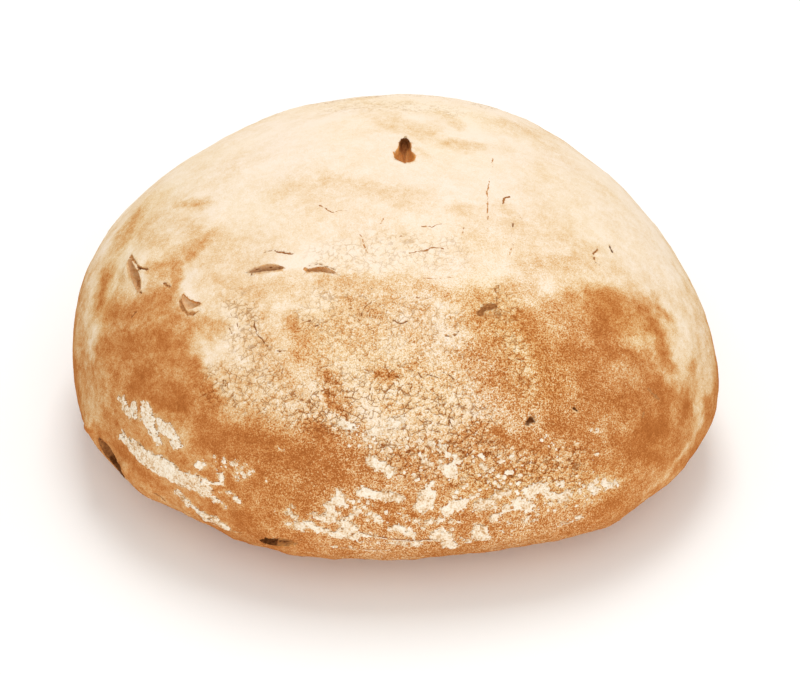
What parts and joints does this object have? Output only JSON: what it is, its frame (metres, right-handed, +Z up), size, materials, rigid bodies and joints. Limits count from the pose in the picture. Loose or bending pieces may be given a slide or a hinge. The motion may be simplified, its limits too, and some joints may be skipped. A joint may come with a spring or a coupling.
{
  "type": "rye bread loaf",
  "caption": "Round domed loaf of rye bread with a flour-dusted, cracked brown crust, a small vent hole near the crown and a flat base to rest on.",
  "frame": {"origin": "on the table, under the middle of the loaf's outline", "axes": "+Z up to the crown; -Y is the front shown in the picture; X runs across the front, the loaf's longest way"},
  "size_m": [0.2262, 0.21, 0.1005],
  "materials": {
    "crust": "matt baked rye crust, orange brown, under a cream dusting of flour"
  },
  "bodies": {
    "root": {"loaf": "crust"}
  },
  "joints": []
}
